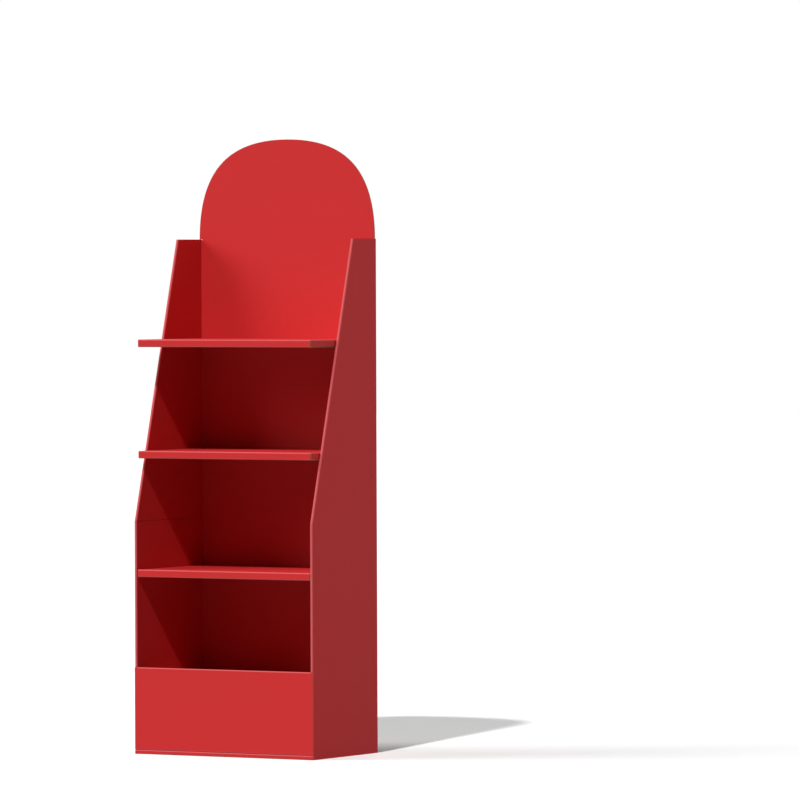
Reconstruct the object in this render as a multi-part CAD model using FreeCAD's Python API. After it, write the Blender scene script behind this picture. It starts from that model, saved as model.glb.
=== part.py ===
import FreeCAD, Part
import math
import os

# Floor-standing display stand made of folded corrugated board: a full-height back with a rounded
# header, two hollow double side walls that slope back above the knee, three closed slab shelves
# and a closed base. Sizes in millimetres. X runs to the right, Y to the back and Z up.
# The origin is the middle of the footprint on the floor.

Vector = FreeCAD.Vector

# Driving sizes of the whole stand
stand_width = 600.0
stand_depth = 360.0
knee_height = 671.0
wall_height = 1483.0
wall_top_depth = 128.0
stand_height = 1772.0

# The board and the way it folds
board = 2.6
fold_radius = 3.4
tuck_play = 0.1
cut_gap = 1.0

# Base
plinth_height = 250.0
deck_height = 220.0
lip_height = 12.0
lip_hollow = 0.6
lip_joint = 0.4
base_play = 0.5
under_flange = 50.0
deck_side_flange = 60.0
deck_rear_flange = 90.0
tray_flange = 60.0
brace_spread = 210.0

# Shelves, listed from the lowest upwards
shelf_thickness = 22.0
shelf_side_gap = 2.0
shelf_rear_gap = 0.4
lower_shelf_level = 510.0
middle_shelf_level = 852.0
upper_shelf_level = 1173.0
lower_shelf_setback = 2.0
upper_shelf_setback = 9.0
shelf_lap = 40.0
tab_width = 50.0
tab_from_edge = 45.0
rear_tab_from_back = 90.0
slot_play = 0.6

# Back and header
back_flange = 60.0
flange_taper = 25.0
arch_fullness = 0.68

# Sizes that follow from the ones above
half_width = stand_width / 2
front = -stand_depth / 2
back = stand_depth / 2
wall = 3 * board + 2 * tuck_play
hollow = wall - 2 * board
inner_half = half_width - wall
back_half = half_width - board - tuck_play
back_face = back - board
rear_limit = back_face - shelf_rear_gap
base_half = inner_half - base_play
rise_back = stand_depth - wall_top_depth
lean = math.atan2(rise_back, wall_height - knee_height)
lip_depth = 2 * board + lip_hollow
plinth_bottom = lip_height + lip_joint
strip_depth = wall
hinge_reach = 3 * fold_radius


def box(x_from, x_to, y_from, y_to, z_from, z_to):
    """Block between two corners."""
    size = Vector(x_to - x_from, y_to - y_from, z_to - z_from)
    return Part.makeBox(size.x, size.y, size.z, Vector(x_from, y_from, z_from))


def both_sides(piece):
    """The piece and its mirror image on the other side of the stand."""
    return [piece, piece.mirror(Vector(0, 0, 0), Vector(1, 0, 0))]


def joined(first, others):
    """One folded sheet from panels that share faces."""
    return first.fuse(others).removeSplitter()


def shifted(points, distance):
    """Corner points of the other skin of the board, to the left of the way the points run."""
    ways = []
    for here, there in zip(points, points[1:]):
        ways.append((there - here).normalize())
    moved = []
    for index, point in enumerate(points):
        before = ways[max(index - 1, 0)]
        after = ways[min(index, len(ways) - 1)]
        left_before = Vector(-before.y, before.x, 0)
        left_after = Vector(-after.y, after.x, 0)
        middle = left_before + left_after
        moved.append(point + middle * (distance * 2 / middle.dot(middle)))
    return moved


def rounded(points, radii):
    """Straight stretches joined by round folds, as a list of edges."""
    edges = []
    start = points[0]
    for index in range(1, len(points) - 1):
        corner = points[index]
        radius = radii[index - 1]
        before = (corner - points[index - 1]).normalize()
        after = (points[index + 1] - corner).normalize()
        reach = radius * math.tan(before.getAngle(after) / 2)
        begin = corner - before * reach
        finish = corner + after * reach
        inward = (after - before).normalize()
        half_turn = before.getAngle(after) / 2
        middle = corner + inward * (radius / math.cos(half_turn) - radius)
        if begin.distanceToPoint(start) > 1e-6:
            edges.append(Part.makeLine(start, begin))
        edges.append(Part.Arc(begin, middle, finish).toShape())
        start = finish
    edges.append(Part.makeLine(start, points[-1]))
    return edges


def folded(corners, side, length, radii=None):
    """Board folded along the corners, thick to the left (1) or right (-1), in the flat XY plane."""
    points = [Vector(u, v, 0) for u, v in corners]
    outer = radii or [fold_radius] * (len(points) - 2)
    near_radii = []
    far_radii = []
    for index in range(1, len(points) - 1):
        before = points[index] - points[index - 1]
        after = points[index + 1] - points[index]
        turn = before.cross(after).z * side
        radius = outer[index - 1]
        near_radii.append(radius if turn > 0 else radius - board)
        far_radii.append(radius - board if turn > 0 else radius)
    other = shifted(points, side * board)
    near = rounded(points, near_radii)
    far = rounded(other[::-1], far_radii[::-1])
    ends = [Part.makeLine(points[-1], other[-1]), Part.makeLine(other[0], points[0])]
    outline = Part.Wire(near + [ends[0]] + far + [ends[1]])
    return Part.Face(outline).extrude(Vector(0, 0, length))


def across(corners, side, x_from, x_to, radii=None):
    """Folded board whose section (Y, Z) runs along X."""
    sheet = folded(corners, side, x_to - x_from, radii)
    sheet.Placement = FreeCAD.Placement(Vector(x_from, 0, 0), FreeCAD.Rotation(Vector(1, 1, 1), 120))
    return sheet


def along(corners, side, y_from, y_to):
    """Folded board whose section (X, Z) runs along Y."""
    sheet = folded(corners, side, y_to - y_from)
    sheet.Placement = FreeCAD.Placement(Vector(0, y_to, 0), FreeCAD.Rotation(Vector(1, 0, 0), 90))
    return sheet


def upright(corners, side, z_from, z_to):
    """Folded board whose section (X, Y) runs along Z."""
    sheet = folded(corners, side, z_to - z_from)
    sheet.translate(Vector(0, 0, z_from))
    return sheet


def edge_flange(sheet, x_face, z_skin, z_end, y_from, y_to):
    """Fold a flange at both ends of a level panel, up or down from its outer skin to z_end."""
    down = z_end < z_skin
    inside = z_skin - board if down else z_skin + board
    low = min(z_skin, inside)
    high = max(z_skin, inside)
    start = x_face - hinge_reach
    cut = box(start, x_face + 1, y_from - cut_gap, y_to + cut_gap, low, high)
    sheet = sheet.cut(both_sides(cut))
    corners = [(start, z_skin), (x_face, z_skin), (x_face, z_end)]
    flange = along(corners, -1 if down else 1, y_from, y_to)
    return joined(sheet, both_sides(flange))


def wall_front(level):
    """Y of the front edge of a side wall at this height."""
    return front + max(level - knee_height, 0) * math.tan(lean)


def tab_positions(level):
    """Middles of the two shelf tabs on each side, the front one near the wall's own front edge."""
    return [wall_front(level) + tab_from_edge, back - rear_tab_from_back]


def shelf_levels():
    """Underside heights of the three shelves."""
    return [lower_shelf_level, middle_shelf_level, upper_shelf_level]


def edge_prism(x_from, x_to, inset, radius):
    """Long upright slab whose two front corners are rounded, its front face at Y = inset."""
    reach = 2 * stand_height
    slab = box(x_from, x_to, inset, reach, -reach, reach)
    corners = []
    for edge in slab.Edges:
        middle = edge.CenterOfMass
        if abs(middle.y - inset) < 1e-6 and abs(middle.z) < 1e-6:
            corners.append(edge)
    return slab.makeFillet(radius, corners)


def wall_form(x_from, x_to, inset, radius):
    """Side wall outline kept back from its front edges: an upright stretch, a knee and a slope."""
    lower = edge_prism(x_from, x_to, inset, radius)
    upper = lower.copy()
    lower.translate(Vector(0, front, 0))
    upper.rotate(Vector(0, 0, 0), Vector(1, 0, 0), -math.degrees(lean))
    upper.translate(Vector(0, front, knee_height))
    return lower.common(upper)


def side_wall():
    """Right wall: one sheet whose front edge is rolled over, so that it comes back as an inner skin.

    The upright and the sloped edge roll over as two flaps of their own. They meet at a seam behind
    the knee. The hollow between the skins takes the flange of the back and the tabs of the shelves.
    """
    whole = wall_form(inner_half, half_width, 0, fold_radius)
    whole = whole.common(box(inner_half, half_width, front, back, 0, wall_height))
    inside = wall_form(inner_half + board, half_width - board, board, fold_radius - board)
    sheet = whole.cut(inside)
    inner_skin_end = box(inner_half - 1, half_width - board, back - fold_radius - tuck_play,
                         back + 1, -1, wall_height + 1)
    seam = box(inner_half - 1, half_width - fold_radius, front - 1, back + 1,
               knee_height - cut_gap / 2, knee_height + cut_gap / 2)
    plinth_seat = box(inner_half - 1, half_width + 1, front - 1, front + board + tuck_play, -1,
                      plinth_height)
    lip_seat = box(inner_half - 1, half_width + 1, front - 1, front + lip_depth + tuck_play, -1,
                   plinth_bottom)
    cuts = [inner_skin_end, seam, plinth_seat, lip_seat]
    for level in shelf_levels():
        for middle in tab_positions(level):
            reach = tab_width / 2 + slot_play
            cuts.append(box(inner_half - 1, inner_half + board + hollow / 2, middle - reach,
                            middle + reach, level, level + board + slot_play))
    return sheet.cut(cuts)


def back_panel():
    """Back and header in one sheet, with a flange folded forward on each side into the walls."""
    rise = stand_height - wall_height
    left_foot = Vector(-back_half, back_face, 0)
    right_foot = Vector(back_half, back_face, 0)
    up = Vector(0, 0, wall_height)
    left_spring = left_foot + up
    right_spring = right_foot + up
    crown = Vector(0, back_face, stand_height)
    climb = Vector(0, 0, rise * arch_fullness)
    sweep = Vector(back_half * arch_fullness, 0, 0)
    right_arch = Part.BezierCurve()
    right_arch.setPoles([right_spring, right_spring + climb, crown + sweep, crown])
    left_arch = Part.BezierCurve()
    left_arch.setPoles([crown, crown - sweep, left_spring + climb, left_spring])
    outline = Part.Wire([
        Part.makeLine(left_foot, right_foot),
        Part.makeLine(right_foot, right_spring),
        right_arch.toShape(),
        left_arch.toShape(),
        Part.makeLine(left_spring, left_foot),
    ])
    sheet = Part.Face(outline).extrude(Vector(0, board, 0))
    start = back_half - hinge_reach
    strip = box(start, half_width, back_face - 1, back + 1, -1, wall_height)
    sheet = sheet.cut(both_sides(strip))
    flange_edge = back - back_flange
    corners = [(start, back), (back_half, back), (back_half, flange_edge)]
    flange = upright(corners, -1, 0, wall_height - cut_gap)
    taper = Part.makePolygon([
        Vector(start, flange_edge, wall_height),
        Vector(start, flange_edge, wall_height - 2 * flange_taper),
        Vector(start, flange_edge + flange_taper, wall_height),
        Vector(start, flange_edge, wall_height),
    ])
    corner_cut = Part.Face(taper).extrude(Vector(half_width, 0, 0))
    foot_cut = corner_cut.mirror(Vector(0, 0, wall_height / 2), Vector(0, 0, 1))
    flange = flange.cut([corner_cut, foot_cut])
    return joined(sheet, both_sides(flange))


def shelf(level, setback):
    """Closed slab wound from one sheet: top, front, underside, rear and a lap glued under the top.

    A flap folded down from each end of the top closes the slab. Two tabs at each end of the
    underside rest in the slots of the side walls.
    """
    top = level + shelf_thickness
    lap_top = top - board - tuck_play
    nose = front + setback
    end = inner_half - shelf_side_gap
    closed_end = end - hinge_reach
    wound = [
        (rear_limit, top),
        (nose, top),
        (nose, level),
        (rear_limit, level),
        (rear_limit, lap_top),
        (rear_limit - shelf_lap, lap_top),
    ]
    sheet = across(wound, 1, -end, end)
    lap_room = box(closed_end, end + 1, nose + fold_radius, rear_limit - fold_radius,
                   level + fold_radius, lap_top)
    sheet = sheet.cut(both_sides(lap_room))
    flap_front = nose + fold_radius + tuck_play
    flap_rear = rear_limit - fold_radius - tuck_play
    sheet = edge_flange(sheet, end, top, level + board + tuck_play, flap_front, flap_rear)
    tabs = []
    for middle in tab_positions(level):
        tip = inner_half + board + hollow - tuck_play
        half_tab = tab_width / 2
        outline = Part.makePolygon([
            Vector(end - board, middle - half_tab, level),
            Vector(tip - board, middle - half_tab, level),
            Vector(tip, middle - half_tab + board, level),
            Vector(tip, middle + half_tab - board, level),
            Vector(tip - board, middle + half_tab, level),
            Vector(end - board, middle + half_tab, level),
            Vector(end - board, middle - half_tab, level),
        ])
        tabs.extend(both_sides(Part.Face(outline).extrude(Vector(0, 0, board))))
    return joined(sheet, tabs)


def base_cover():
    """Plinth front, rolled top edge and sunken deck in one sheet, its flanges glued inside."""
    plinth_back = front + strip_depth
    profile = [
        (front + under_flange, plinth_bottom),
        (front, plinth_bottom),
        (front, plinth_height),
        (plinth_back, plinth_height),
        (plinth_back, deck_height),
        (rear_limit, deck_height),
        (rear_limit, deck_height - deck_rear_flange),
    ]
    sheet = across(profile, -1, -base_half, base_half)
    ears = both_sides(box(base_half, half_width, front, front + board, plinth_bottom, plinth_height))
    sheet = joined(sheet, ears)
    flap_end = box(base_half - hinge_reach, base_half + 1, front + fold_radius + cut_gap,
                   front + under_flange + 1, plinth_bottom - 1, plinth_bottom + board + 1)
    sheet = sheet.cut(both_sides(flap_end))
    return edge_flange(sheet, base_half, deck_height, deck_height - deck_side_flange,
                       plinth_back + fold_radius, rear_limit - fold_radius - tuck_play)


def base_tray():
    """Floor of the base: a shallow tray whose front lip is hemmed and shows below the plinth."""
    lip_back = front + lip_depth
    hem = lip_depth / 2
    lip = [
        (front, 0),
        (front, lip_height),
        (lip_back, lip_height),
        (lip_back, board + lip_hollow),
    ]
    profile = [(rear_limit, tray_flange), (rear_limit, 0)] + lip
    sheet = across(profile, -1, -base_half, base_half, [fold_radius, fold_radius, hem, hem])
    lip_end = across(lip, -1, base_half, half_width, [hem, hem])
    sheet = joined(sheet, both_sides(lip_end))
    return edge_flange(sheet, base_half, 0, tray_flange, front + 2 * fold_radius + lip_depth,
                       rear_limit - fold_radius - tuck_play)


def brace_levels():
    """Bottom, middle and top of the braces between the tray and the deck."""
    low = board
    high = deck_height - board
    return low, (low + high) / 2, high


def cross_brace():
    """Board on edge from side to side under the deck, slotted from above for the other two."""
    low, middle, high = brace_levels()
    reach = base_half - fold_radius - tuck_play
    slot_half = board / 2 + tuck_play
    sheet = box(-reach, reach, -board / 2, board / 2, low, high)
    centre = brace_spread / 2
    slot = box(centre - slot_half, centre + slot_half, -board, board, middle, high + 1)
    return sheet.cut(both_sides(slot))


def long_brace():
    """Board on edge from front to back under the deck, slotted from below over the cross brace."""
    low, middle, high = brace_levels()
    slot_half = board / 2 + tuck_play
    centre = brace_spread / 2
    face = centre - board / 2
    sheet = box(face, face + board, front + fold_radius + tuck_play,
                rear_limit - fold_radius - tuck_play, low, high)
    slot = box(face - 1, face + board + 1, -slot_half, slot_half, low - 1, middle)
    toe_room = box(face - 1, face + board + 1, front, front + under_flange + cut_gap, low - 1,
                   plinth_bottom + board + tuck_play)
    deck_fold_room = box(face - 1, face + board + 1, front, front + strip_depth + cut_gap,
                         high - fold_radius, high + 1)
    return sheet.cut([slot, toe_room, deck_fold_room])


def write(name, sheet):
    """Save one piece of the stand."""
    sheet.exportStep(os.path.join("parts", name + ".step"))


os.makedirs("parts", exist_ok=True)
for name, sheet in zip(["side_wall_right", "side_wall_left"], both_sides(side_wall())):
    write(name, sheet)
for name, sheet in zip(["deck_brace_right", "deck_brace_left"], both_sides(long_brace())):
    write(name, sheet)
write("back_panel", back_panel())
write("shelf_lower", shelf(lower_shelf_level, lower_shelf_setback))
write("shelf_middle", shelf(middle_shelf_level, upper_shelf_setback))
write("shelf_upper", shelf(upper_shelf_level, upper_shelf_setback))
write("base_cover", base_cover())
write("base_tray", base_tray())
write("deck_brace_cross", cross_brace())
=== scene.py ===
import math

import bpy
import numpy as np
from mathutils import Matrix, Vector


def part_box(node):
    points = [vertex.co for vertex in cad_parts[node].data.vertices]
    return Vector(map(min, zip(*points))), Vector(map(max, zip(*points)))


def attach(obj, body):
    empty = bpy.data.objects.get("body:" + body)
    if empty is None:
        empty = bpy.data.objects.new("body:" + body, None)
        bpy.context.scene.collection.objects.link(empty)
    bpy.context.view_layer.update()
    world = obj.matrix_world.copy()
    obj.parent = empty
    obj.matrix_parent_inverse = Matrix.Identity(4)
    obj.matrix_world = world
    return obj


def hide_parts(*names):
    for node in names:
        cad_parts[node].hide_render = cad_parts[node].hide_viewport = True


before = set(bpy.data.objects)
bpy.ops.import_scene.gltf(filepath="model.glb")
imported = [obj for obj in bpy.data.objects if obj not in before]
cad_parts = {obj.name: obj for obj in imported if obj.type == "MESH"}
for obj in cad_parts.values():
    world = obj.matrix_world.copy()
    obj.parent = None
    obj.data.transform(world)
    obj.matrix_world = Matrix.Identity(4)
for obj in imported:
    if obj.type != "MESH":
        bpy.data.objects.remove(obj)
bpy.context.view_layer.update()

# Side walls
# Each wall is one die-cut sheet of corrugated board, printed red on one side. Its front edge is
# rolled over and comes back inside as a second skin, so that the print shows on both faces. The
# upright and the sloped edge roll over as two flaps, which meet at a fine seam below the knee.

board = 0.0026
liner = 0.0003
fluting_paper = 0.00022
flute_pitch = 0.0065
cut_recess = 0.0020
fold_radius = 0.0034
fold_steps = 6
tuck_play = 0.0001


def weld(points, grain=1e-6):
    """Numbers the different rows of an array, so that points in one place share one number."""
    _, first, number = np.unique(np.round(points / grain).astype(np.int64), axis=0,
                                 return_index=True, return_inverse=True)
    return first, number.reshape(-1)


def outline_of(loops, counts):
    """Edges that only one face uses: each runs from one corner to the next with its face at its left."""
    start = np.repeat(np.cumsum(counts) - counts, counts)
    size = np.repeat(counts, counts)
    place = np.arange(len(loops)) - start
    following = loops[start + (place + 1) % size]
    span = loops.max() + 1
    ahead = loops * span + following
    back = following * span + loops
    free = ~np.isin(ahead, back)
    return loops[free], following[free]


def unit(vectors):
    """Vectors of length 1 the same way."""
    return vectors / np.maximum(np.linalg.norm(vectors, axis=-1, keepdims=True), 1e-12)


def board_piece(name, skin, inward, blank, crease, present, slot, node, finishes):
    """Corrugated sheet whose one face runs through a grid of points.

    The other face lies one board thickness further along the inward vectors. Along every cut the
    two liners stand free and the space between them is recessed; a ribbon of fluting paper waves
    from liner to liner there: half thickness + height * sin(2 pi * way across the flutes / pitch).
    """
    rows, columns = skin.shape[:2]
    flat_skin = skin.reshape(-1, 3)
    flat_inward = inward.reshape(-1, 3)
    first, number = weld(np.hstack([flat_skin, flat_inward * 0.01]))
    near = flat_skin[first]
    ways = flat_inward[first]
    flat_blank = blank.reshape(-1, 2)[first]
    flat_crease = crease.reshape(-1)[first]
    grid = number.reshape(rows, columns)
    corners = np.stack([grid[:-1, :-1], grid[:-1, 1:], grid[1:, 1:], grid[1:, :-1]], -1)[present]
    across = np.cross(near[corners[:, 2]] - near[corners[:, 0]], near[corners[:, 3]] - near[corners[:, 1]])
    solid = np.linalg.norm(across, axis=1) > 1e-10
    corners = corners[solid]
    if np.einsum("ij,ij->i", across[solid], ways[corners[:, 0]]).sum() > 0:
        corners = corners[:, ::-1]
    keep = corners != np.roll(corners, 1, axis=1)
    loops = corners[keep]
    counts = keep.sum(1)

    tail, head = outline_of(loops, counts)
    run = unit(near[head] - near[tail])
    inset = np.cross(-unit(ways[tail] + ways[head]), run)
    leaving = np.zeros_like(near)
    coming = np.zeros_like(near)
    leaving[tail] = inset
    coming[head] = inset
    agree = np.einsum("ij,ij->i", leaving, coming)[:, None]
    mitre = (leaving + coming) / np.maximum(1 + agree, 0.4)
    mitre *= np.where(flat_crease > 0, cut_recess / 4, cut_recess)[:, None]

    total = len(near)
    far = near + ways * board
    layers = [
        near,
        far,
        near + ways * liner,
        near + ways * liner + mitre,
        far - ways * liner + mitre,
        far - ways * liner,
    ]
    order = [0, 2, 3, 4, 5, 1]
    faces = [loops, total + loops[::-1]]
    sizes = [counts, counts[::-1]]
    normals = [-unit(ways)[loops], unit(ways)[loops[::-1]]]
    finish = [np.zeros(len(counts), int), np.ones(len(counts), int)]
    for upper, lower in zip(order, order[1:]):
        strip = np.stack([head + upper * total, tail + upper * total,
                          tail + lower * total, head + lower * total], 1)
        faces.append(strip.ravel())
        sizes.append(np.full(len(strip), 4))
        normals.append(np.zeros((strip.size, 3)))
        finish.append(np.full(len(strip), 2))

    wave_height = board / 2 - liner - fluting_paper / 2
    way_across = flat_blank[head, 0] - flat_blank[tail, 0]
    parts = np.maximum(np.ceil(np.abs(way_across) / flute_pitch * 10), 1).astype(int)
    edge = np.repeat(np.arange(len(tail)), parts)
    step = np.arange(len(edge)) - np.repeat(np.cumsum(parts) - parts, parts)
    ribbon = []
    for end in (0, 1):
        share = ((step + end) / parts[edge])[:, None]
        point = near[tail][edge] * (1 - share) + near[head][edge] * share
        way = ways[tail][edge] * (1 - share) + ways[head][edge] * share
        into = mitre[tail][edge] * (1 - share) + mitre[head][edge] * share
        phase = flat_blank[tail, 0][edge] + way_across[edge] * share[:, 0]
        middle = board / 2 + wave_height * np.sin(2 * np.pi * phase / flute_pitch)[:, None]
        for depth in (0.1, 1.05):
            for side in (-0.5, 0.5):
                ribbon.append(point + way * (middle + side * fluting_paper) + into * depth)
    paper_first, paper_number = weld(np.vstack(ribbon), 1e-7)
    paper_points = np.vstack(ribbon)[paper_first]
    place = paper_number.reshape(8, -1) + 6 * total
    for a, b, c, d in ((0, 1, 5, 4), (1, 3, 7, 5), (3, 2, 6, 7), (2, 0, 4, 6)):
        strip = np.stack([place[a], place[b], place[c], place[d]], 1)
        strip = strip[(strip != np.roll(strip, 1, axis=1)).all(1)]
        faces.append(strip.ravel())
        sizes.append(np.full(len(strip), 4))
        normals.append(np.zeros((strip.size, 3)))
        finish.append(np.full(len(strip), 2))

    points = np.vstack(layers + [paper_points])
    corner_points = np.concatenate(faces).astype(np.int32)
    face_sizes = np.concatenate(sizes).astype(np.int32)
    face_finish = np.concatenate(finish).astype(np.int32)
    used = np.unique(corner_points)
    renumber = np.zeros(len(points), np.int32)
    renumber[used] = np.arange(len(used))
    mesh = bpy.data.meshes.new(name)
    mesh.vertices.add(len(used))
    mesh.vertices.foreach_set("co", points[used].astype(np.float32).ravel())
    mesh.loops.add(len(corner_points))
    mesh.loops.foreach_set("vertex_index", renumber[corner_points])
    mesh.polygons.add(len(face_sizes))
    mesh.polygons.foreach_set("loop_start", np.cumsum(face_sizes) - face_sizes)
    mesh.polygons.foreach_set("material_index", face_finish)
    mesh.polygons.foreach_set("use_smooth", face_finish < 2)
    mesh.update(calc_edges=True)
    source = corner_points % total
    source[corner_points >= 6 * total] = 0
    sheet_place = flat_blank[source]
    sheet_place[corner_points >= 6 * total] = 0
    mesh.uv_layers.new(name="blank").data.foreach_set("uv", sheet_place.astype(np.float32).ravel())
    wear = mesh.attributes.new("crease", "FLOAT", "POINT")
    wear_values = np.concatenate([np.tile(flat_crease, 6), np.zeros(len(paper_points))])[used]
    wear.data.foreach_set("value", wear_values.astype(np.float32))
    for finish_material in finishes:
        mesh.materials.append(finish_material)
    mesh.normals_split_custom_set(np.vstack(normals).tolist())
    piece = bpy.data.objects.new(name, mesh)
    bpy.context.scene.collection.objects.link(piece)
    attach(piece, "root")
    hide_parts(node)
    return piece


class Wire:
    """A shader socket that sums, products and powers can be written with, as with a number."""

    def __init__(self, finish, socket):
        self.finish = finish
        self.socket = socket

    def maths(self, operation, first, second):
        """A Math node of this operation on two values."""
        return self.finish.node("Math", {"operation": operation}, {0: first, 1: second})

    def __add__(self, other):
        return self.maths("ADD", self, other)

    def __radd__(self, other):
        return self.maths("ADD", other, self)

    def __sub__(self, other):
        return self.maths("SUBTRACT", self, other)

    def __rsub__(self, other):
        return self.maths("SUBTRACT", other, self)

    def __mul__(self, other):
        return self.maths("MULTIPLY", self, other)

    def __rmul__(self, other):
        return self.maths("MULTIPLY", other, self)

    def __pow__(self, other):
        return self.maths("POWER", self, other)


class Finish:
    """A material that is laid on one piece of the stand, with its nodes made one call at a time."""

    def __init__(self, name, **constants):
        self.material = bpy.data.materials.new(name)
        self.material.use_nodes = True
        self.tree = self.material.node_tree
        self.shader = self.tree.nodes["Principled BSDF"]
        for socket, value in constants.items():
            self.shader.inputs[socket.replace("_", " ")].default_value = value

    def put(self, socket, value):
        """Links a wire to a socket, or sets the socket to a number or a colour."""
        if isinstance(value, Wire):
            self.tree.links.new(value.socket, socket)
        else:
            socket.default_value = value

    def node(self, kind, settings, sockets, out=0):
        """Adds a node: its settings first, then its sockets; gives one of its outputs."""
        made = self.tree.nodes.new("ShaderNode" + kind)
        for setting, value in settings.items():
            setattr(made, setting, value)
        for socket, value in sockets.items():
            self.put(made.inputs[socket], value)
        return Wire(self, made.outputs[out])

    def noise(self, place, size, detail, stretch=(1, 1, 1), roughness=0.5):
        """Soft noise from 0 to 1 whose spots measure about this size, stretched along the axes."""
        scaled = self.node("VectorMath", {"operation": "MULTIPLY"}, {0: place, 1: stretch})
        return self.node("TexNoise", {}, {"Vector": scaled, "Scale": 1 / size, "Detail": detail,
                                          "Roughness": roughness})

    def blend(self, share, first, second):
        """Colour that goes from the first to the second as the share goes from 0 to 1."""
        made = self.tree.nodes.new("ShaderNodeMix")
        made.data_type = "RGBA"
        for index, value in ((0, share), (6, first), (7, second)):
            self.put(made.inputs[index], value)
        return Wire(self, made.outputs[2])

    def show(self, socket, value):
        """Feeds one socket of the shader."""
        self.put(self.shader.inputs[socket], value)


def flute_wave(finish, blank):
    """1 on the crests of the flutes and 0 between them, read from the sheet's flat layout."""
    across = finish.node("SeparateXYZ", {}, {0: blank})
    turns = finish.node("Math", {"operation": "COSINE"}, {0: across * (2 * math.pi / flute_pitch)})
    return turns * 0.5 + 0.5


def printed_red():
    """Satin red print on white-topped board: faint flutes, paper grain, and folds paled partly by crease
    wear and partly by a painted highlight.
    """
    finish = Finish("printed_red", **{"Specular_IOR_Level": 0.12})
    blank = finish.node("UVMap", {"uv_map": "blank"}, {})
    place = finish.node("TexCoord", {}, {}, "Object")
    fold = finish.node("Attribute", {"attribute_name": "crease"}, {}, "Fac")
    flutes = flute_wave(finish, blank)
    cloud = finish.noise(place, 0.35, 3)
    fibre = finish.noise(place, 0.0012, 3, (1, 1, 0.35))
    grain = finish.noise(place, 0.0004, 2)
    scuff = finish.noise(place, 0.045, 5, (1, 1, 0.3), 0.7)
    rubbed = finish.node("MapRange", {}, {"Value": scuff, "From Min": 0.62, "From Max": 0.80})
    tone = cloud * 0.5 + fibre * 0.3 + flutes * 0.06 + grain * 0.14
    print_colour = finish.blend(tone, (0.545, 0.0225, 0.0235, 1), (0.600, 0.0295, 0.0310, 1))
    worn = finish.blend(rubbed * 0.10, print_colour, (0.66, 0.10, 0.10, 1))
    broken = finish.noise(place, 0.004, 4, (1, 1, 1), 0.65)
    # The folds are blended towards pale pink: partly crease wear, partly a painted highlight along the
    # rounded folds.
    pale = fold ** 0.6 * (0.10 + broken * 0.20)
    finish.show("Base Color", finish.blend(pale, worn, (0.86, 0.42, 0.44, 1)))
    finish.show("Roughness", 0.46 + cloud * 0.08 + fibre * 0.08 + fold * 0.10)
    height = flutes * 0.000012 + fibre * 0.000010 + grain * 0.000004 + broken * fold * 0.00006
    bump = finish.node("Bump", {}, {"Strength": 0.9, "Distance": 1.0, "Height": height})
    finish.show("Normal", bump)
    return finish.material


def brown_liner():
    """Unprinted brown liner: long fibres, darker flecks, and stripes along the flutes, painted shade
    between them and lighter on their crests.
    """
    finish = Finish("brown_liner", **{"Specular_IOR_Level": 0.25})
    blank = finish.node("UVMap", {"uv_map": "blank"}, {})
    place = finish.node("TexCoord", {}, {}, "Object")
    fold = finish.node("Attribute", {"attribute_name": "crease"}, {}, "Fac")
    flutes = flute_wave(finish, blank)
    cloud = finish.noise(place, 0.12, 4)
    fibre = finish.noise(place, 0.0030, 5, (1, 1, 0.12), 0.65)
    fleck = finish.noise(place, 0.0016, 2, (1, 1, 0.4))
    specks = finish.node("MapRange", {}, {"Value": fleck, "From Min": 0.68, "From Max": 0.76})
    # The flutes term paints shade between the flutes and light on their crests as stripes in the colour.
    tone = cloud * 0.35 + fibre * 0.45 + flutes * 0.20
    paper = finish.blend(tone, (0.27, 0.155, 0.075, 1), (0.50, 0.325, 0.185, 1))
    flecked = finish.blend(specks * 0.55, paper, (0.13, 0.065, 0.030, 1))
    finish.show("Base Color", finish.blend(fold * 0.25, flecked, (0.56, 0.40, 0.25, 1)))
    finish.show("Roughness", 0.78 + fibre * 0.12)
    height = flutes * 0.00006 + fibre * 0.00003 + fleck * 0.00001
    finish.show("Normal", finish.node("Bump", {}, {"Strength": 1.0, "Distance": 1.0, "Height": height}))
    return finish.material


def cut_board():
    """Raw cut through liners and fluting: brown paper, darker in its pores, fuzzy and quite matt."""
    finish = Finish("cut_board", **{"Specular_IOR_Level": 0.2})
    place = finish.node("TexCoord", {}, {}, "Object")
    pulp = finish.noise(place, 0.0009, 4, (1, 1, 1), 0.7)
    batch = finish.noise(place, 0.05, 2)
    tone = pulp * 0.7 + batch * 0.3
    finish.show("Base Color", finish.blend(tone, (0.22, 0.115, 0.055, 1), (0.52, 0.34, 0.20, 1)))
    finish.show("Roughness", 0.85 + pulp * 0.1)
    finish.show("Normal", finish.node("Bump", {}, {"Strength": 0.8, "Distance": 1.0,
                                                   "Height": pulp * 0.00008}))
    return finish.material


print_face = printed_red()
brown_face = brown_liner()
cut_face = cut_board()

wall_low, wall_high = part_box("side_wall_right")
wall = wall_high.x - wall_low.x
front = wall_low.y
wall_height = wall_high.z
outer_face = wall_high.x
inner_face = wall_low.x
knee = 0.671
wall_top_depth = 0.128
plinth_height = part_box("base_cover")[1].z
plinth_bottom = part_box("base_cover")[0].z
lip_depth = 0.0058
seam = 0.001
lean = math.atan2(wall_high.y - front - wall_top_depth, wall_height - knee)
shelf_levels = [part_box(name)[0].z for name in ("shelf_lower", "shelf_middle", "shelf_upper")]
tab_width = 0.050
tab_from_edge = 0.045
rear_tab_from_back = 0.090
slot_play = 0.0006


def wall_front(level):
    """Y of the wall's front edge at a height: upright to the knee, then sloping back."""
    return front + np.maximum(level - knee, 0) * math.tan(lean)


def tab_middles(level):
    """Y of the two shelf tabs at one side, the front one near the wall's own front edge."""
    return [float(wall_front(level)) + tab_from_edge, wall_high.y - rear_tab_from_back]


def slot_box(level, middle):
    """Front, rear, bottom and top of the slot for one tab."""
    reach = tab_width / 2 + slot_play
    return middle - reach, middle + reach, level, level + board + slot_play


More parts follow.
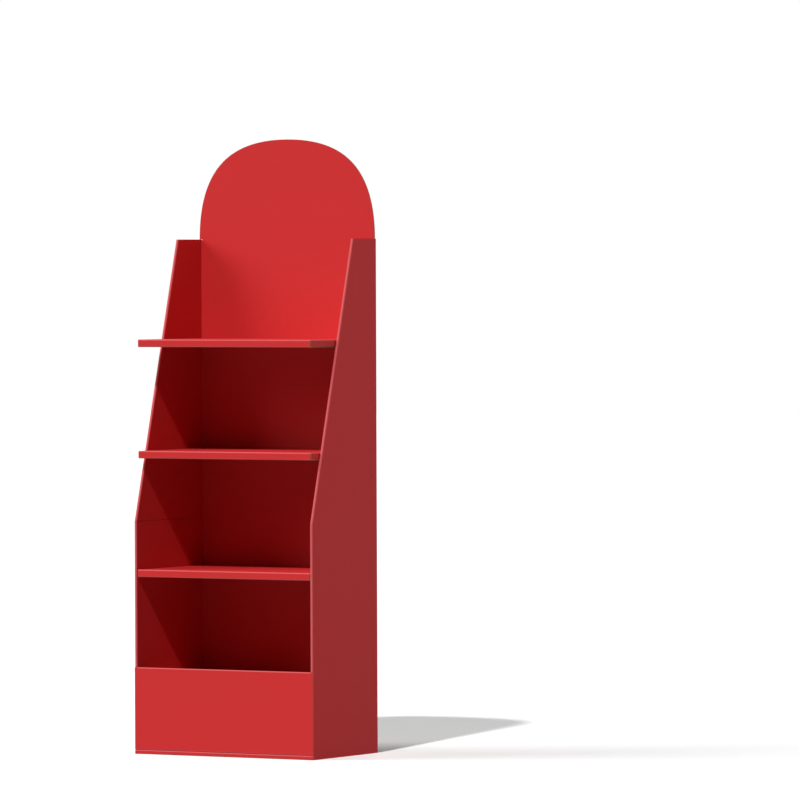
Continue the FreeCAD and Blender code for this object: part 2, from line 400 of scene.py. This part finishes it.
def wall_sheet(side):
    """Grid of a wall: columns follow its section from back to front and round to the inner skin.

    At each height the section is a hairpin of two straight skins and two quarter rounds. Above the
    knee it is stretched by 1 / cos(lean), and the row at the knee lies on the mitre of both folds.
    """
    slots = [slot_box(level, middle) for level in shelf_levels for middle in tab_middles(level)]
    stops = sorted({round(y, 6) for box in slots for y in box[:2]} | {front + lip_depth + tuck_play})
    skin_end = wall_high.y - fold_radius - tuck_play
    turn = np.linspace(0, math.pi / 2, fold_steps + 1)
    plinth_cut = math.asin(1 - (board + tuck_play) / fold_radius)
    turn = np.sort(np.append(turn, plinth_cut))
    round_x = fold_radius * np.cos(turn)
    round_y = fold_radius * (1 - np.sin(turn))
    skin_count = len(stops) + 1
    zero = np.zeros(skin_count)
    x = np.concatenate([zero + outer_face, outer_face - fold_radius + round_x,
                        inner_face + fold_radius - round_x[::-1], zero + inner_face])
    from_front = np.concatenate([zero + fold_radius, round_y, round_y[::-1], zero + fold_radius])
    fixed_y = np.concatenate([[wall_high.y], stops[::-1], np.full(2 * len(turn), -1.0), stops, [skin_end]])
    angle = np.concatenate([zero, turn, turn[::-1], zero])
    inner_half = np.arange(len(x)) >= skin_count + len(turn)

    crossings = [knee + (y - front - fold_radius / math.cos(lean)) / math.tan(lean) for y in stops]
    heights = [z for z in crossings if knee + 0.002 < z < wall_height - 0.001]
    heights += [0, plinth_bottom, plinth_height, knee - seam / 2, knee + seam / 2, wall_height]
    heights += [z for box in slots for z in box[2:]]
    heights += list(np.linspace(plinth_height, knee, 8)[1:-1])
    heights += list(np.linspace(knee, wall_height, 15)[1:-1])
    heights = np.array(sorted(set(np.round(heights, 6))) + [knee])
    heights.sort()
    at_knee = heights == knee
    above = heights > knee
    stretch = np.where(above, 1 / math.cos(lean), 1.0)[:, None]
    edge = wall_front(heights)[:, None]
    y = np.maximum(edge + from_front * stretch, fixed_y)
    z = heights[:, None] - np.where(at_knee, math.tan(lean / 2), 0)[:, None] * from_front
    lean_y = np.where(at_knee, 1.0, np.where(above, math.cos(lean), 1.0))[:, None]
    lean_z = np.where(at_knee, -math.tan(lean / 2), np.where(above, -math.sin(lean), 0.0))[:, None]
    sign = np.where(inner_half, 1.0, -1.0)
    skin = np.stack([np.broadcast_to(x, y.shape), y, z], -1)
    inward = np.stack([np.broadcast_to(sign * np.cos(angle), y.shape), np.sin(angle) * lean_y,
                       np.sin(angle) * lean_z], -1)

    off_y = y - front
    off_z = z - knee
    along = off_y * math.sin(lean) + off_z * math.cos(lean)
    mirrored = np.where(z > knee, 2 * along * math.sin(lean) - off_y, -off_y)
    round_way = fold_radius * angle * np.where(inner_half, 1, -1)
    flute_way = np.where(inner_half, -mirrored, off_y) + round_way
    blank = np.stack([flute_way, z], -1)
    crease = np.broadcast_to(np.where(angle > 0, np.sin(angle), 0.0) ** 0.5, y.shape)

    middle = (skin[:-1, :-1] + skin[1:, :-1] + skin[:-1, 1:] + skin[1:, 1:]) / 4
    mx, my, mz = np.moveaxis(middle, -1, 0)
    present = ~((mz < plinth_height) & (my < front + board + tuck_play))
    present &= ~((mz < plinth_bottom) & (my < front + lip_depth + tuck_play))
    present &= ~((abs(mz - knee) < seam / 2) & (mx < outer_face - fold_radius))
    for near, rear, low, high in slots:
        present &= ~((mx < inner_face + board / 2) & (my > near) & (my < rear) & (mz > low) & (mz < high))
    skin[..., 0] *= side
    inward[..., 0] *= side
    return skin, inward, blank, crease, present


for side, name in ((1, "side_wall_right"), (-1, "side_wall_left")):
    board_piece(name + "_sheet", *wall_sheet(side), "printed_board", name,
                [print_face, brown_face, cut_face])

# Back and header
# One upright sheet with a rounded header, printed red on its front only; the rear is bare brown
# liner. A flange is folded forward at each side and stands glued in the hollow of the wall.

back_low, back_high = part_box("back_panel")
back_half = back_high.x
rear = back_high.y
header_top = back_high.z
hinge_reach = 3 * fold_radius
flange_edge = back_low.y
flange_taper = 0.025
taper_length = 0.050
header_steps = 32
arch_fullness = 0.68


def bend_along(corners, radii, side):
    """Section of a sheet that is folded along a path, with a round fold at each corner.

    A fold is an arc: start + radius * (sin(a) * forward + (1 - cos(a)) * turning way), a from 0 to
    the turn. Gives the points, the ways to the other face (to the left for side 1, to the right for
    side -1), the distance along the path, and 0 to 1 for how sharply the sheet is bent there.
    """
    corners = np.array(corners, float)
    forward = unit(np.diff(corners, axis=0))
    left = np.stack([-forward[:, 1], forward[:, 0]], 1)
    points = [corners[:1]]
    ways = [left[:1]]
    bends = [np.zeros(1)]
    for index, radius in enumerate(radii):
        turn = math.atan2(left[index] @ forward[index + 1], forward[index] @ forward[index + 1])
        swing = np.sign(turn)
        angle = np.linspace(0, abs(turn), fold_steps + 1 if radius else 1)[:, None]
        begin = corners[index + 1] - forward[index] * radius * math.tan(abs(turn) / 2)
        points.append(begin + radius * (np.sin(angle) * forward[index]
                                        + (1 - np.cos(angle)) * swing * left[index]))
        ways.append(np.cos(angle) * left[index] - np.sin(angle) * swing * forward[index])
        bends.append(np.sin(math.pi * angle[:, 0] / abs(turn)) if radius else np.zeros(1))
    points = np.vstack(points + [corners[-1:]])
    ways = np.vstack(ways + [left[-1:]]) * side
    way_along = np.append(0, np.cumsum(np.linalg.norm(np.diff(points, axis=0), axis=1)))
    return points, ways, way_along, np.append(np.concatenate(bends), 0)


def back_sheet():
    """Grid of the back: columns from the right flange round the rear to the left one.

    Header rows lie on the Bezier curve of the outline; their columns draw in with its half width.
    """
    flat = back_half - hinge_reach
    stops = np.linspace(flat, -flat, 13)
    corners = [(back_half, flange_edge), (back_half, rear)] + [(x, rear) for x in stops]
    corners += [(-back_half, rear), (-back_half, flange_edge)]
    points, ways, way_along, bends = bend_along(corners, [fold_radius] + [0] * 13 + [fold_radius], 1)
    heights = np.concatenate([[0], np.linspace(taper_length, wall_height - taper_length, 20),
                              [wall_height - seam, wall_height]])
    past_taper = np.maximum(heights - wall_height + taper_length, taper_length - heights)
    taper = np.maximum(past_taper / taper_length, 0) * flange_taper
    share = np.linspace(0, 1, header_steps + 1)[1:]
    hold = (1 - share) ** 3 + 3 * (1 - share) ** 2 * share
    pull = 3 * (1 - share) * share ** 2
    half = back_half * (hold + pull * arch_fullness)
    rise = header_top - wall_height
    climb = wall_height + rise * (3 * (1 - share) ** 2 * share * arch_fullness + pull + share ** 3)
    level = np.append(heights, climb)
    skin = np.zeros((len(level), len(points), 3))
    skin[..., :2] = points
    skin[..., 2] = level[:, None]
    skin[:len(heights), 0, 1] += taper
    skin[:len(heights), -1, 1] += taper
    inward = np.zeros_like(skin)
    inward[..., :2] = ways
    blank = np.zeros(skin.shape[:2] + (2,))
    blank[..., 0] = way_along[-1] / 2 - way_along
    blank[..., 1] = level[:, None]
    crease = np.tile(bends, (len(level), 1))
    inner = np.flatnonzero(abs(points[:, 0]) < flat + 1e-6)
    header = slice(len(heights) - 1, None)
    width = np.append(back_half, half)
    columns = np.zeros((len(width), len(points)))
    columns[:, inner] = points[inner, 0] * width[:, None] / back_half
    columns[0, inner] = points[inner, 0]
    columns[:, :inner[0]] = width[:, None]
    columns[:, inner[-1] + 1:] = -width[:, None]
    skin[header, :, 0] = columns
    skin[header, :, 1] = rear
    inward[header] = (0, -1, 0)
    blank[header, :, 0] = columns
    crease[header] = 0
    present = np.ones((len(level) - 1, len(points) - 1), bool)
    slit = len(heights) - 2
    present[slit:, :inner[0] - 1] = False
    present[slit:, inner[-1] + 1:] = False
    present[slit, inner[0] - 1] = False
    present[slit, inner[-1]] = False
    return skin, inward, blank, crease, present


board_piece("back_panel_sheet", *back_sheet(), "printed_board", "back_panel",
            [brown_face, print_face, cut_face])

# Base tray
# The floor of the base: a shallow tray whose front lip is hemmed back on itself and shows as a thin
# strip below the plinth. Its sides and rear turn up inside and are glued to the walls and the back.

tray_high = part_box("base_tray")[1]
base_play = 0.0005
base_half = inner_face - base_play
rear_limit = tray_high.y
tray_flange = tray_high.z
lip_height = 0.012
hem_end = 0.0032
floor_stop = 0.060
half_core = (0, 0.1, 0.2, base_half - hinge_reach)


def sheet_across(section, core, edge, beyond, bent, depth):
    """Grid of a sheet whose section, given as Y and Z, runs along X from one side to the other.

    Rows that are bent end in a flange of this depth, folded towards the other face: edge - radius
    + radius * sin(a) outwards and radius * (1 - cos(a)) inwards. The others run straight on through
    the places beyond. Cells that join a bent row to a straight one are left out as a slit.
    """
    points, ways, way_along, bends = section
    turn = np.linspace(0, math.pi / 2, fold_steps + 1)[1:]
    core = np.append(core, edge - fold_radius)
    straight = np.append(beyond, np.full(fold_steps + 1 - len(beyond), beyond[-1]))
    flap = np.append(edge - fold_radius + fold_radius * np.sin(turn), edge)
    rows = bent[:, None]
    blank_core = np.zeros((len(points), len(core)))
    x = np.hstack([blank_core + core, np.where(rows, flap, straight)])
    sink = np.hstack([blank_core, np.where(rows, np.append(fold_radius * (1 - np.cos(turn)), depth), 0)])
    angle = np.hstack([blank_core, np.where(rows, np.append(turn, math.pi / 2), 0)])
    x = np.hstack([-x[:, ::-1], x])
    sink = np.hstack([sink[:, ::-1], sink])
    angle = np.hstack([-angle[:, ::-1], angle])
    skin = np.dstack([x, points[:, :1] + ways[:, :1] * sink, points[:, 1:] + ways[:, 1:] * sink])
    inward = np.dstack([-np.sin(angle), ways[:, :1] * np.cos(angle), ways[:, 1:] * np.cos(angle)])
    step = np.linalg.norm(np.diff(skin, axis=1), axis=2)
    from_left = np.hstack([np.zeros((len(points), 1)), np.cumsum(step, axis=1)])
    flat_x = from_left - from_left[:, -1:] / 2
    flat_x[bent, -1] = flat_x[bent, -2] + depth - fold_radius
    blank = np.dstack([flat_x, np.broadcast_to(way_along[:, None], flat_x.shape)])
    fold_share = np.hstack([np.sin(turn * 2), [0]])
    side_bend = np.hstack([blank_core, np.where(rows, fold_share, 0)])
    crease = np.maximum(np.hstack([side_bend[:, ::-1], side_bend]), bends[:, None])
    reach = np.minimum(abs(x[0, 1:]), abs(x[0, :-1]))
    inside = np.maximum(abs(x[0, 1:]), abs(x[0, :-1])) < edge - hinge_reach + 1e-6
    slit = bent[1:] != bent[:-1]
    present = (bent[:-1] & bent[1:])[:, None] | (reach < edge - 1e-6)[None]
    present = np.where(slit[:, None], inside[None], present)
    return skin, inward, blank, crease, present


def run_on(skin, inward, crease, present, first, last, ends):
    """Carries the sheet's upright front on past both sides between two rows of the grid.

    The rows given as ends lie in a fold; past the sides they move to a place on the flat front.
    """
    rows = slice(min([first] + list(ends)), max([last] + list(ends)))
    for ear in (slice(None, fold_steps), slice(-fold_steps, None)):
        for row, place in ends.items():
            skin[row, ear, 1:] = place
            inward[row, ear] = (0, 1, 0)
            crease[row, ear] = 0
    present[rows, fold_steps - 2] = True
    present[rows, 1 - fold_steps] = True


def tray_sheet():
    """Grid of the tray; the hemmed lip runs on past both sides as far as the walls' outer faces."""
    lip_back = front + lip_depth
    hem = lip_depth / 2
    side_front = lip_back + 2 * fold_radius
    side_rear = rear_limit - fold_radius - tuck_play
    stops = [(y, 0) for y in (side_rear, floor_stop, -floor_stop, side_front, side_front - seam)]
    corners = [(rear_limit, tray_flange), (rear_limit, 0)] + stops
    corners += [(front, 0), (front, lip_height), (lip_back, lip_height), (lip_back, hem_end)]
    section = bend_along(corners, [fold_radius] + [0] * len(stops) + [fold_radius, hem, hem], -1)
    points = section[0]
    on_floor = abs(points[:, 1]) < 1e-9
    bent = on_floor & (points[:, 0] > side_front - 1e-6) & (points[:, 0] < side_rear + 1e-6)
    beyond = [base_half, base_half, outer_face]
    skin, inward, blank, crease, present = sheet_across(section, half_core, base_half, beyond,
                                                        bent, tray_flange)
    upright = int(np.flatnonzero((abs(points[:, 0] - front) < 1e-9) & (points[:, 1] > 0.001))[0])
    run_on(skin, inward, crease, present, upright, len(points) - 1, {upright - 1: (front, 0)})
    return skin, inward, blank, crease, present


board_piece("base_tray_sheet", *tray_sheet(), "printed_board", "base_tray",
            [print_face, brown_face, cut_face])

# Deck braces
# Three plain strips of board on edge, halved into one another between the tray and the deck. They
# were built with square edges, so they keep that shape and only take on the look of brown board.

for name in ("deck_brace_cross", "deck_brace_left", "deck_brace_right"):
    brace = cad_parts[name]
    brace.data.materials.clear()
    brace.data.materials.append(cut_face)

# Base cover
# Plinth front, rolled top edge and sunken deck in one printed sheet. A flange below the front and
# one behind the deck turn inwards, and one at each side of the deck is glued to the wall.

plinth_back = front + wall
deck_height = 0.220
under_flange = 0.050
deck_rear_flange = 0.090
deck_side_flange = 0.060


def cover_sheet():
    """Grid of the cover; its front runs on past both sides as far as the walls' outer faces."""
    side_front = plinth_back + fold_radius
    side_rear = rear_limit - fold_radius - tuck_play
    stops = [(side_front - seam, deck_height), (side_front, deck_height), (-0.055, deck_height),
             (0.060, deck_height), (side_rear, deck_height)]
    corners = [(front + under_flange, plinth_bottom), (front + fold_radius + seam, plinth_bottom),
               (front, plinth_bottom), (front, 0.09), (front, 0.17), (front, plinth_height),
               (plinth_back, plinth_height), (plinth_back, deck_height)] + stops
    corners += [(rear_limit, deck_height), (rear_limit, deck_height - deck_rear_flange)]
    tight = fold_radius - board
    radii = [0, fold_radius, 0, 0, fold_radius, fold_radius, tight] + [0] * len(stops) + [fold_radius]
    section = bend_along(corners, radii, -1)
    points = section[0]
    on_deck = abs(points[:, 1] - deck_height) < 1e-9
    bent = on_deck & (points[:, 0] > side_front - 1e-6) & (points[:, 0] < side_rear + 1e-6)
    beyond = [base_half, base_half, outer_face]
    skin, inward, blank, crease, present = sheet_across(section, half_core, base_half, beyond,
                                                        bent, deck_side_flange)
    present[0] &= abs(skin[0, 1:, 0] + skin[0, :-1, 0]) / 2 < base_half - hinge_reach
    upright = np.flatnonzero(abs(points[:, 0] - front) < 1e-9)
    ends = {upright[0] - 1: (front, plinth_bottom), upright[-1] + 1: (front, plinth_height)}
    run_on(skin, inward, crease, present, upright[0], upright[-1], ends)
    return skin, inward, blank, crease, present


board_piece("base_cover_sheet", *cover_sheet(), "printed_board", "base_cover",
            [print_face, brown_face, cut_face])

# Shelves
# Each is a slab wound from one printed sheet: top, front, underside, rear and a lap glued under the
# top. A flap folded down closes each end, and two tabs at each end stand in the slots of the wall.

tab_tip = outer_face - board - tuck_play
shelf_lap = 0.040
shelf_side_gap = 0.002
flap_slit = 0.0006


def shelf_sheet(name):
    """Grid of one shelf, measured from its packed box; columns past the ends shape the tabs."""
    low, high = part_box(name)
    end = inner_face - shelf_side_gap
    lap_top = high.z - board - tuck_play
    flap_front = low.y + fold_radius + flap_slit
    flap_rear = high.y - fold_radius - flap_slit
    tab_y = []
    for middle in tab_middles(low.z):
        half = tab_width / 2
        tab_y += [middle - half, middle - half + board, middle + half - board, middle + half]
    corners = [(high.y, high.z), (high.y - fold_radius, high.z)]
    corners += [(y, high.z) for y in np.linspace(flap_rear, flap_front, 4)]
    corners += [(low.y, high.z), (low.y, low.z)] + [(y, low.z) for y in tab_y]
    corners += [(high.y, low.z), (high.y, lap_top), (high.y - shelf_lap, lap_top)]
    radii = [0] * 5 + [fold_radius, fold_radius] + [0] * len(tab_y) + [fold_radius, fold_radius]
    section = bend_along(corners, radii, 1)
    points = section[0]
    on_top = abs(points[:, 1] - high.z) < 1e-9
    bent = on_top & (points[:, 0] > flap_front - 1e-6) & (points[:, 0] < flap_rear + 1e-6)
    core = np.array([0, 0.09, 0.19, end - hinge_reach])
    beyond = [end, tab_tip - board, tab_tip]
    depth = high.z - low.z - board - tuck_play
    skin, inward, blank, crease, present = sheet_across(section, core, end, beyond, bent, depth)
    present[-1] &= abs(skin[-1, 1:, 0] + skin[-1, :-1, 0]) / 2 < end - hinge_reach
    for first in tab_y[::4]:
        row = np.flatnonzero((abs(points[:, 1] - low.z) < 1e-9) & (abs(points[:, 0] - first) < 1e-6))[0]
        present[row:row + 3, -fold_steps:2 - fold_steps] = True
        present[row:row + 3, fold_steps - 2:fold_steps] = True
        for outermost in (row, row + 3):
            skin[outermost, 1 - fold_steps:, 0] = tab_tip - board
            skin[outermost, :fold_steps - 1, 0] = board - tab_tip
    return skin, inward, blank[..., ::-1], crease, present


for name in ("shelf_lower", "shelf_middle", "shelf_upper"):
    board_piece(name + "_sheet", *shelf_sheet(name), "printed_board", name,
                [print_face, brown_face, cut_face])

# Floor and backdrop
# A wide matt white floor without an end, as in a photo studio. It takes the shadow of the stand; the
# camera sees it as white paper, while the light it throws back is that of a pale grey floor.

floor_mesh = bpy.data.meshes.new("floor")
floor_mesh.from_pydata([(-40, -40, 0), (40, -40, 0), (40, 40, 0), (-40, 40, 0)], [], [(0, 1, 2, 3)])
floor = bpy.data.objects.new("floor", floor_mesh)
bpy.context.scene.collection.objects.link(floor)
floor_finish = Finish("studio_floor", **{"Roughness": 0.9, "Specular_IOR_Level": 0.0})
seen = (floor_finish.node("LightPath", {}, {}, "Is Camera Ray")
        + floor_finish.node("LightPath", {}, {}, "Is Glossy Ray")
        + floor_finish.node("LightPath", {}, {}, "Is Transmission Ray"))
floor_place = floor_finish.node("TexCoord", {}, {}, "Object")
paper_tone = floor_finish.noise(floor_place, 0.6, 3)
pale = floor_finish.blend(paper_tone, (0.295, 0.295, 0.295, 1), (0.305, 0.305, 0.305, 1))
floor_finish.show("Base Color", floor_finish.blend(seen, pale, (0.98, 0.98, 0.98, 1)))
floor_finish.show("Emission Color", floor_finish.blend(seen, (0, 0, 0, 1), (1, 1, 1, 1)))
floor_finish.shader.inputs["Emission Strength"].default_value = 0.05
floor_mesh.materials.append(floor_finish.material)

# Light
# A small hard lamp from above the front, a wide soft one from the left, a weak wide one that
# grazes the right wall, and a soft one from behind that the front doesn't see. For each: its
# azimuth from the front to the right, elevation and spread in degrees, and its strength.

lamps = {
    "key": (11, 48.3, 2.5, 2.48),
    "left_fill": (-60, 30, 40, 2.20),
    "right_rim": (110, 8, 35, 0.78),
    "rear_fill": (188, 35, 40, 0.80),
}
for name, (azimuth, elevation, spread, strength) in lamps.items():
    lamp = bpy.data.lights.new(name, "SUN")
    lamp.energy = strength
    lamp.angle = math.radians(spread)
    around = math.radians(azimuth)
    height = math.radians(elevation)
    lit_from = Vector((math.sin(around) * math.cos(height), -math.cos(around) * math.cos(height),
                       math.sin(height)))
    lamp_object = bpy.data.objects.new(name, lamp)
    lamp_object.rotation_euler = lit_from.to_track_quat("Z", "Y").to_euler()
    bpy.context.scene.collection.objects.link(lamp_object)

world = bpy.data.worlds.new("studio")
world.use_nodes = True
bpy.context.scene.world = world
sky = world.node_tree.nodes["Background"]
sky_path = world.node_tree.nodes.new("ShaderNodeLightPath")
seen_rays = sky_path.outputs["Is Camera Ray"]
for ray in ("Is Glossy Ray", "Is Transmission Ray"):
    added = world.node_tree.nodes.new("ShaderNodeMath")
    world.node_tree.links.new(seen_rays, added.inputs[0])
    world.node_tree.links.new(sky_path.outputs[ray], added.inputs[1])
    seen_rays = added.outputs[0]
world.node_tree.links.new(seen_rays, sky.inputs["Strength"])
sky.inputs["Color"].default_value = (1, 1, 1, 1)
bpy.context.scene.view_settings.view_transform = "Standard"

# Camera
# Far off at about chest height, with a long lens, turned some thirty degrees to the right side.

camera_place = Vector((11.056, -17.921, 1.4235))
swing = math.radians(30.535)
pitch = math.radians(1.104)
roll = math.radians(-0.209)
level_way = Vector((-math.sin(swing), math.cos(swing), 0))
way = level_way * math.cos(pitch) - Vector((0, 0, math.sin(pitch)))
level_right = Vector((math.cos(swing), math.sin(swing), 0))
level_up = level_right.cross(way)
right = math.cos(roll) * level_right + math.sin(roll) * level_up
up = -math.sin(roll) * level_right + math.cos(roll) * level_up
lens = bpy.data.cameras.new("camera")
lens.lens = 328.8
lens.sensor_width = 36
lens.clip_end = 200
camera = bpy.data.objects.new("camera", lens)
turned = Matrix((right, up, -way)).transposed().to_4x4()
turned.translation = camera_place
camera.matrix_world = turned
bpy.context.scene.collection.objects.link(camera)
bpy.context.scene.camera = camera
